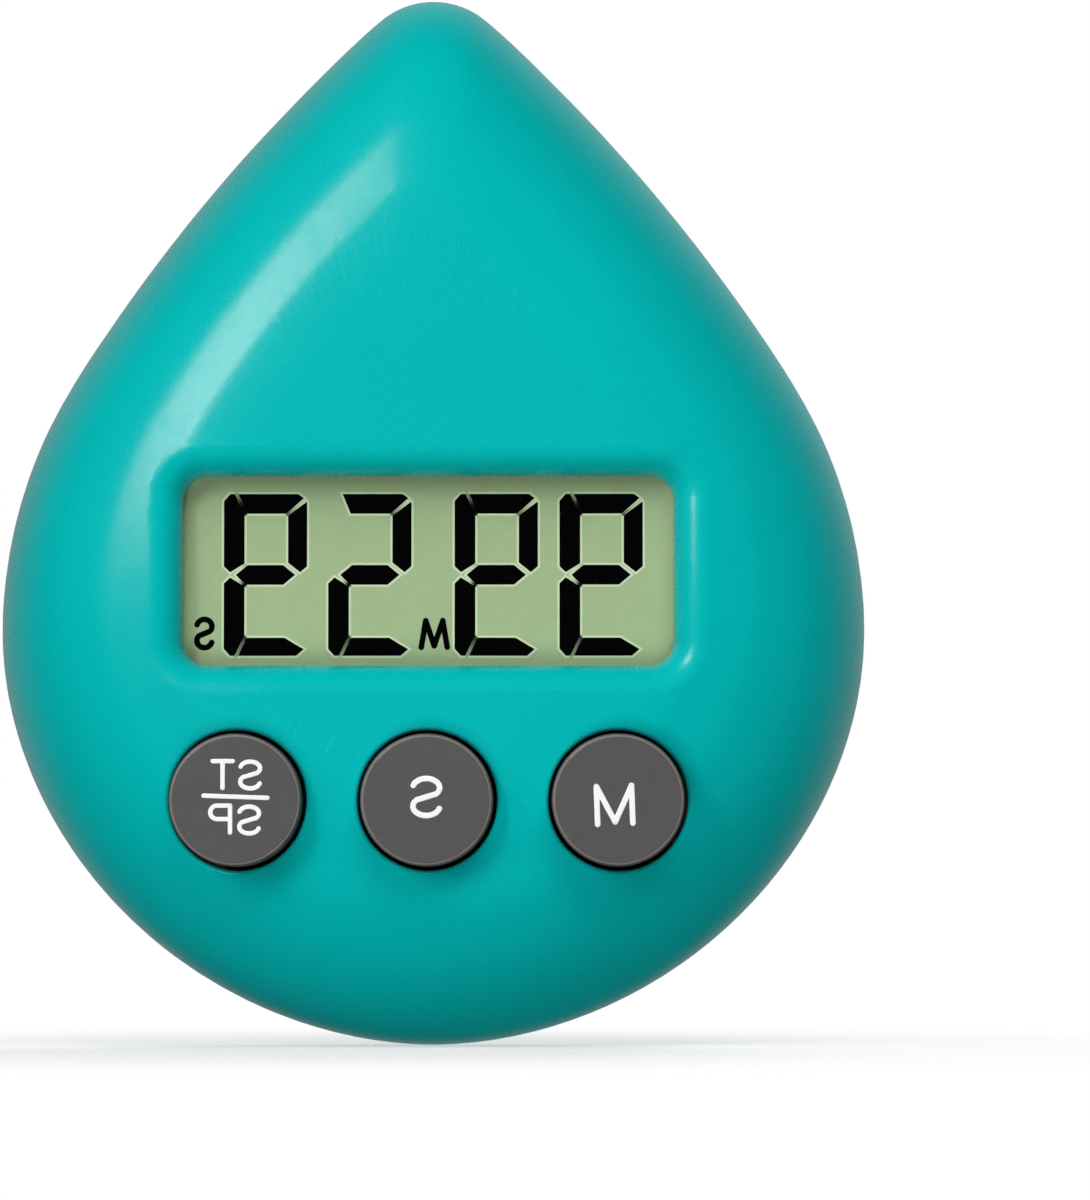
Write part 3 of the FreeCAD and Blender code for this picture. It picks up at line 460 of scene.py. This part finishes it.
def insulation(name, colour):
    return surface(name, colour, None, (0.35, 0.5), 900, 4000, 0.15, 0.02)


def display_ink():
    """Switched-on segments: nearly black and without gloss."""
    return surface("display_segment", srgb(2, 2, 2), srgb(5, 5, 5), (0.6, 0.7), 1500, 9000, 0.05, 0.005,
                   specular=0.0)


def halo_ink():
    return surface("display_halo", srgb(204, 222, 186), srgb(198, 216, 180), (0.5, 0.6), 1500, 9000, 0.05,
                   0.005, specular=0.2)


def legend_ink():
    return surface("white_legend", srgb(252, 252, 250), srgb(246, 246, 244), (0.4, 0.55), 2500, 7000, 0.2,
                   0.01)


SLOT_MATERIALS = {
    "shell_plastic": shell_plastic, "button_plastic": button_plastic, "clear_lens": clear_lens,
    "polariser_film": polariser_film, "lcd_glass": lcd_glass, "reflector_film": reflector_film,
    "foam": foam, "zebra_rubber": zebra_rubber, "board": board, "epoxy": epoxy, "tin": tin,
    "ferrite": ferrite, "component_black": component_black, "component_tan": component_tan,
    "carbon": carbon, "silicone": silicone, "spring_steel": spring_steel, "cell_steel": cell_steel,
    "cell_label": cell_label, "brass": brass, "piezo": piezo, "magnet": magnet,
    "screw_steel": screw_steel,
    "red_insulation": lambda: insulation("red_insulation", srgb(190, 26, 24)),
    "black_insulation": lambda: insulation("black_insulation", srgb(24, 24, 25)),
}


def paint_nodes():
    """Every CAD node gets the material of its slot."""
    made = {}
    for node, obj in frame["nodes"].items():
        slot = NODE_SLOTS[node]
        if slot not in made:
            made[slot] = SLOT_MATERIALS[slot]()
        obj.data.materials.clear()
        obj.data.materials.append(made[slot])


# ================================================================ flat inked shapes
def inked_polygons(name, polygons, y, height):
    """Flat-topped ink shapes that face the front, as closed solids. Points are (x, z) in metres."""
    builder = bmesh.new()
    for polygon in polygons:
        top = [builder.verts.new((x, y - height, z)) for x, z in polygon]
        bottom = [builder.verts.new((x, y, z)) for x, z in polygon]
        builder.faces.new(top)
        builder.faces.new(list(reversed(bottom)))
        for i in range(len(polygon)):
            j = (i + 1) % len(polygon)
            builder.faces.new((top[j], top[i], bottom[i], bottom[j]))
    bmesh.ops.recalc_face_normals(builder, faces=builder.faces)
    mesh = bpy.data.meshes.new(name)
    builder.to_mesh(mesh)
    builder.free()
    return bpy.data.objects.new(name, mesh)


def grown(polygon, margin):
    """A polygon made larger by a margin, corner by corner."""
    count = len(polygon)
    area = 0.0
    for i in range(count):
        x0, z0 = polygon[i]
        x1, z1 = polygon[(i + 1) % count]
        area += x0 * z1 - x1 * z0
    side = 1 if area > 0 else -1
    result = []
    for i in range(count):
        before = Vector(polygon[i - 1])
        here = Vector(polygon[i])
        after = Vector(polygon[(i + 1) % count])
        into = (here - before).normalized()
        away = (after - here).normalized()
        out_a = Vector((into.y, -into.x)) * side
        out_b = Vector((away.y, -away.x)) * side
        middle = (out_a + out_b).normalized()
        reach = margin / max(middle.dot(out_a), 0.5)
        result.append(tuple(here + middle * reach))
    return result


# ================================================================ display digits
DIGIT_HALF_WIDTH = 3.30 * MM
DIGIT_HALF_HEIGHT = 6.42 * MM
STROKE_WIDE = 1.64 * MM  # of the upright segments
STROKE_HIGH = 1.56 * MM  # of the level segments
SEGMENT_GAP = 0.13 * MM
CORNER = 0.55 * MM
DIGIT_DROP = 0.22 * MM  # the digits sit this far below the window's middle
DIGIT_PLACES = (-12.95 * MM, -4.67 * MM, 5.35 * MM, 13.66 * MM)  # from the display's middle
DIGIT_VALUES = "9599"  # in the same order, from the left
SEGMENTS_ON = {"9": "abcdfg", "5": "acdfg"}
INK_HEIGHT = 0.02 * MM  # how far the switched-on segments stand off the film
HALO_HEIGHT = 0.01 * MM
HALO_MARGIN = 0.17 * MM


def segment_shapes():
    """The segments that a 5 or a 9 lights, about the digit's middle, read the usual way round.

    They go by their usual letters: a on top, b and c on the right, d below, f on the left, g across."""
    a, b = DIGIT_HALF_WIDTH, DIGIT_HALF_HEIGHT
    v, h, g, c = STROKE_WIDE, STROKE_HIGH, SEGMENT_GAP, CORNER
    inner_x = a - v
    inner_z = b - h
    waist = h / 2
    steep = 1.0 * MM  # where the steep mitre on the right meets the outer edge
    return {
        "a": [(-a + 2 * g, b - 0.6 * c), (-a + 0.7 * MM, b), (a - steep - g, b),
              (inner_x - g, inner_z), (-inner_x, inner_z)],
        "b": [(a - steep + g, b), (a - 0.9 * c, b), (a, b - c), (a, g + c), (a - 0.9 * c, 1.6 * g),
              (inner_x, waist + g), (inner_x, inner_z)],
        "f": [(-a, b - c - g), (-a + 0.3 * g, b - 0.9 * c - g), (-inner_x - g, inner_z - g),
              (-inner_x - g, waist + 1.5 * g), (-a + c, 1.6 * g), (-a, g + c)],
        "g": [(-a + 0.95 * MM, 0.0), (-inner_x + 0.25 * MM, waist), (inner_x - 0.25 * MM, waist),
              (a - 0.95 * MM, 0.0), (inner_x - 0.05 * MM, -waist), (-inner_x + 0.25 * MM, -waist)],
        "c": [(a, -g - c), (a - 0.9 * c, -1.6 * g), (inner_x, -waist - g), (inner_x, -inner_z),
              (a - steep + g, -b), (a - 0.9 * c, -b), (a, -b + c)],
        "d": [(inner_x - g, -inner_z - g), (-inner_x + g, -inner_z - g), (-a + 2 * g, -b + 0.95 * c),
              (-a + 0.85 * MM, -b), (a - steep - g, -b)],
    }


def make_digits():
    """Four digits on the front polariser, with the pale edge that the switched-on segments show."""
    shapes = segment_shapes()
    polygons = []
    for place, value in zip(DIGIT_PLACES, DIGIT_VALUES):
        for name, points in shapes.items():
            if name in SEGMENTS_ON[value]:
                polygons.append([(DISPLAY_X + place + READING * x, DISPLAY_Z - DIGIT_DROP + z)
                                 for x, z in points])
    digits = inked_polygons("display_digits", polygons, FILM_LOW.y, INK_HEIGHT)
    digits.data.materials.append(display_ink())
    collect(digits, "housing")
    rims = [grown(polygon, HALO_MARGIN) for polygon in polygons]
    halos = inked_polygons("display_halos", rims, FILM_LOW.y, HALO_HEIGHT)
    halos.data.materials.append(halo_ink())
    collect(halos, "housing")


# ================================================================ stroked letters
UNIT_STROKE = 0.46 * MM
LEGEND_HEIGHT = 0.03 * MM  # of the printed ink


def arc(centre_x, centre_z, radius_x, radius_z, first, last, steps=14):
    """Points along an oval's edge between two angles in degrees."""
    points = []
    for i in range(steps + 1):
        angle = math.radians(first + (last - first) * i / steps)
        points.append((centre_x + radius_x * math.cos(angle), centre_z + radius_z * math.sin(angle)))
    return points


def letter_s(width, height):
    """Two bowls joined by a slanting waist."""
    half = width / 2
    quarter = height / 4
    upper = arc(0, quarter, half, quarter, 15, 222)
    lower = arc(0, -quarter, half, quarter, 42, -165)
    return [upper + lower]


def letter_m(width, height, splay=0.0):
    """An M whose legs stand wider apart at their feet by the splay."""
    foot = width / 2
    x = foot - splay / 2
    z = height / 2
    dip = -z * 0.9
    return [[(-foot, -z), (-x, z)], [(-x, z), (0, dip)], [(0, dip), (x, z)], [(x, z), (foot, -z)]]


def letter_t(width, height):
    x = width / 2
    z = height / 2
    return [[(-x, z), (x, z)], [(0, z), (0, -z)]]


def letter_p(width, height):
    x = width / 2
    z = height / 2
    radius = z / 2
    bowl = [(-x, z)] + arc(x - radius, z - radius, radius, radius, 90, -90) + [(-x, 0)]
    return [[(-x, -z), (-x, z)], bowl]


def stroke_stations(path, width):
    """Points along a stroke with its direction and its width there, round at both ends."""
    points = [Vector(p) for p in path]
    stations = []
    for i, point in enumerate(points):
        before = points[max(i - 1, 0)]
        after = points[min(i + 1, len(points) - 1)]
        stations.append((point, (after - before).normalized(), 1.0))
    steps = 5
    first, last = stations[0], stations[-1]
    start, end = [], []
    for i in range(1, steps + 1):
        angle = math.radians(88.0 * i / steps)
        reach = width / 2 * math.sin(angle)
        start.insert(0, (first[0] - first[1] * reach, first[1], math.cos(angle)))
        end.append((last[0] + last[1] * reach, last[1], math.cos(angle)))
    return start + stations + end


def inked_strokes(name, paths, width, y, height):
    """Rounded raised ink along each path, as closed solids that face the front."""
    sides = 10
    builder = bmesh.new()
    for path in paths:
        rings = []
        for point, heading, share in stroke_stations(path, width):
            across = Vector((-heading.y, heading.x))
            ring = []
            for k in range(sides + 1):
                angle = math.pi * k / sides
                spot = point + across * (width / 2 * share * math.cos(angle))
                rise = height * math.sqrt(max(math.sin(angle), 0.0)) * math.sqrt(share)
                ring.append(builder.verts.new((spot.x, y - rise, spot.y)))
            rings.append(ring)
        for one, two in zip(rings, rings[1:]):
            for k in range(sides):
                builder.faces.new((one[k], one[k + 1], two[k + 1], two[k]))
            builder.faces.new((one[sides], one[0], two[0], two[sides]))
        builder.faces.new(rings[0])
        builder.faces.new(list(reversed(rings[-1])))
    bmesh.ops.recalc_face_normals(builder, faces=builder.faces)
    mesh = bpy.data.meshes.new(name)
    builder.to_mesh(mesh)
    builder.free()
    mesh.polygons.foreach_set("use_smooth", [True] * len(mesh.polygons))
    return bpy.data.objects.new(name, mesh)


def placed(paths, x, z, tilt=0.0):
    """Paths turned by a tilt in degrees, mirrored if the timer is, and moved to (x, z)."""
    turn = math.radians(tilt)
    moved = []
    for path in paths:
        moved.append([(x + READING * px * math.cos(turn) - pz * math.sin(turn),
                       z + READING * px * math.sin(turn) + pz * math.cos(turn)) for px, pz in path])
    return moved


def make_unit_marks():
    """The small S and M beside the display's digits."""
    seconds = placed(letter_s(1.20 * MM, 2.25 * MM), DISPLAY_X - 17.78 * MM, DISPLAY_Z - 4.87 * MM)
    splayed = letter_m(2.05 * MM, 2.10 * MM, 0.7 * MM)
    minutes = placed(splayed, DISPLAY_X + 0.44 * MM, DISPLAY_Z - 4.91 * MM)
    marks = inked_strokes("display_unit_marks", seconds + minutes, UNIT_STROKE, FILM_LOW.y, INK_HEIGHT)
    marks.data.materials.append(display_ink())
    collect(marks, "housing")


def start_stop_strokes(x, z):
    """ST over SP with a bar between them, round the middle of the button."""
    small = (1.55 * MM, 2.10 * MM)
    strokes = []
    for letter, right, up in ((letter_t, -0.94, 1.98), (letter_s, 1.22, 1.94),
                              (letter_p, -1.12, -1.50), (letter_s, 1.15, -1.58)):
        strokes += placed(letter(*small), x + right * MM, z + up * MM)
    half_bar = 2.5 * MM
    return strokes + placed([[(-half_bar, 0), (half_bar, 0)]], x + 0.08 * MM, z + 0.24 * MM, -2.0)


def seconds_strokes(x, z):
    return placed(letter_s(2.10 * MM, 2.90 * MM), x, z + 0.22 * MM)


def minutes_strokes(x, z):
    return placed(letter_m(2.75 * MM, 2.95 * MM), x - 0.28 * MM, z - 0.40 * MM, 2.0)


LEGENDS = {
    "start_stop": (start_stop_strokes, 0.36 * MM),
    "seconds": (seconds_strokes, 0.45 * MM),
    "minutes": (minutes_strokes, 0.45 * MM),
}


def make_legends():
    """The pad-printed legends, one riding on each button."""
    ink = legend_ink()
    for button, (strokes, width) in LEGENDS.items():
        low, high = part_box(button + "_button")
        paths = strokes((low.x + high.x) / 2, (low.z + high.z) / 2)
        legend = inked_strokes(button + "_legend", paths, width, low.y, LEGEND_HEIGHT)
        legend.data.materials.append(ink)
        collect(legend, button)


# ================================================================ the scene
bpy.context.scene.view_settings.view_transform = "Standard"
make_camera()
make_lights()
make_world()
make_floor()
paint_nodes()
make_digits()
make_unit_marks()
make_legends()
